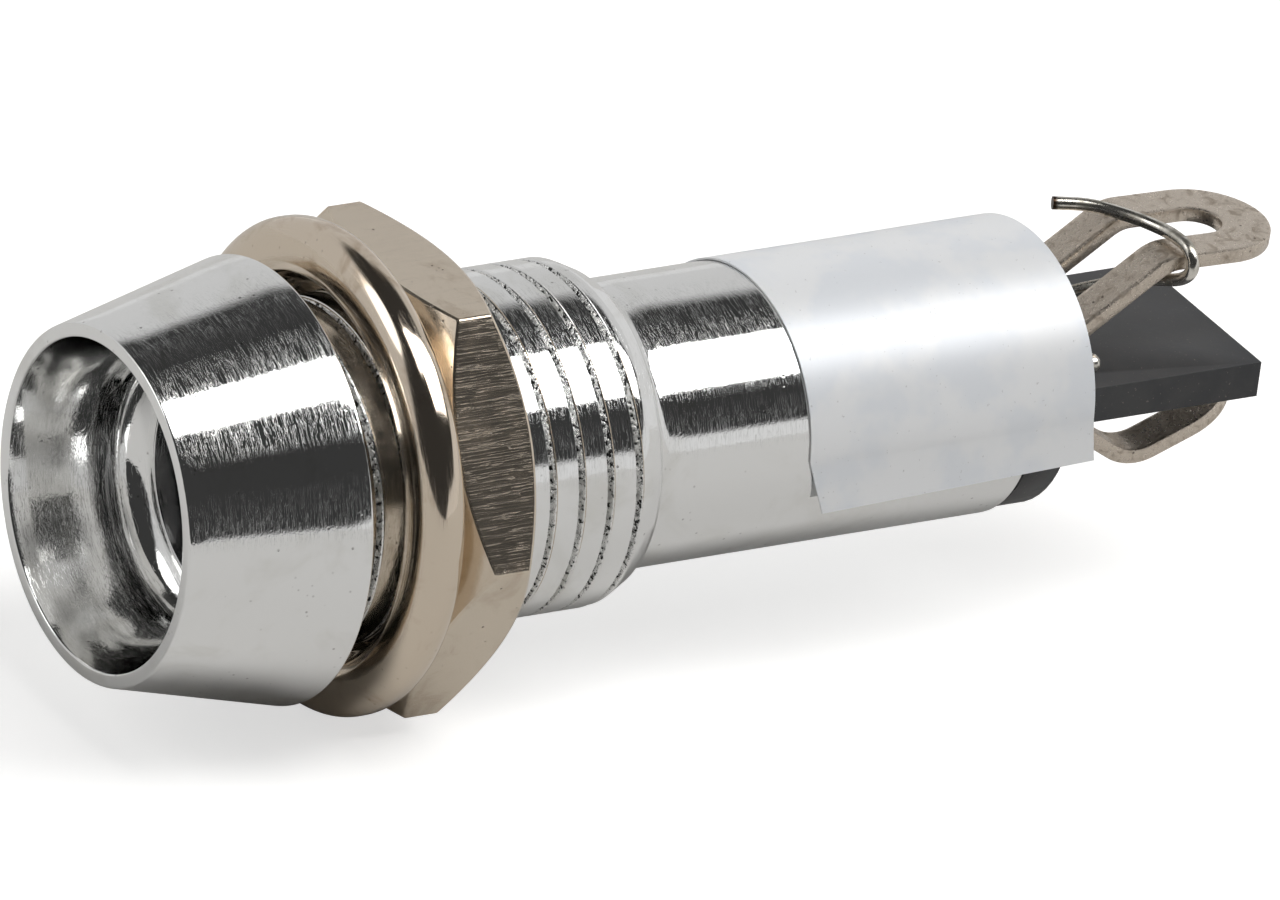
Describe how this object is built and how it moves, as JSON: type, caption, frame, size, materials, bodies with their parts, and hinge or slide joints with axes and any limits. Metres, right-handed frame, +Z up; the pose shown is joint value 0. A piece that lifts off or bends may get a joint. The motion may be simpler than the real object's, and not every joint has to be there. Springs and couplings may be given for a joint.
{
  "type": "panel pilot light",
  "caption": "Panel indicator lamp: chromed conical bezel on a threaded stem with a domed washer and hexagon nut, labelled barrel and hairpin solder lugs astride a plate.",
  "frame": {"origin": "on the lamp's axis in the plane of the panel seat, the flat back of the bezel that bears on the front of the panel", "axes": "Y is the axis of the lamp and its thread: the bezel's mouth faces -Y and the solder lugs point along +Y; the dividing plate is level, +Z is up, and two opposite flats of the nut face +Z and -Z"},
  "size_m": [0.0116, 0.0302, 0.0113],
  "materials": {
    "chrome_plate": "chromium-plated brass, polished with fine turning marks",
    "washer_nickel": "nickel-plated brass, polished over its rim",
    "nut_nickel": "nickel-plated brass, drawn flats and turned chamfers, scratched",
    "foil_label": "satin silver foil label, bare",
    "clear_epoxy": "clear cast epoxy",
    "tinned_lead": "tinned wire, dulled",
    "black_plastic": "black moulded plastic, satin, lightly scratched",
    "solder": "solder grey",
    "resistor_coat": "lacquered ceramic",
    "lug_nickel": "nickel-plated brass strip, worn on the bent legs"
  },
  "bodies": {
    "lamp": {"housing": "chrome_plate", "label_wrap": "foil_label", "lamp_dome": "clear_epoxy", "anode_lead": "tinned_lead", "cathode_lead": "tinned_lead", "lead_spacer": "black_plastic", "cathode_sleeve": "black_plastic", "splice_solder": "solder", "resistor_front_lead": "tinned_lead", "resistor_body": "resistor_coat", "hooked_lead": "tinned_lead", "terminal_plug": "black_plastic", "upper_lug": "lug_nickel", "lower_lug": "lug_nickel"},
    "washer": {"domed_washer": "washer_nickel"},
    "nut": {"hex_nut": "nut_nickel"}
  },
  "joints": [
    {"name": "washer_slide", "type": "slide", "parent": "lamp", "child": "washer", "axis": [0, 1, 0], "range_m": [-0.001, 0.0035]},
    {"name": "nut_turn", "type": "hinge", "parent": "washer", "child": "nut", "pos_m": [0, 0, 0], "axis": [0, 1, 0], "range_deg": [-480.2, 1680.2]}
  ],
  "couplings": [
    {"joint": "nut_turn", "follows": "washer_slide", "rad_per_m": 8377.6}
  ]
}
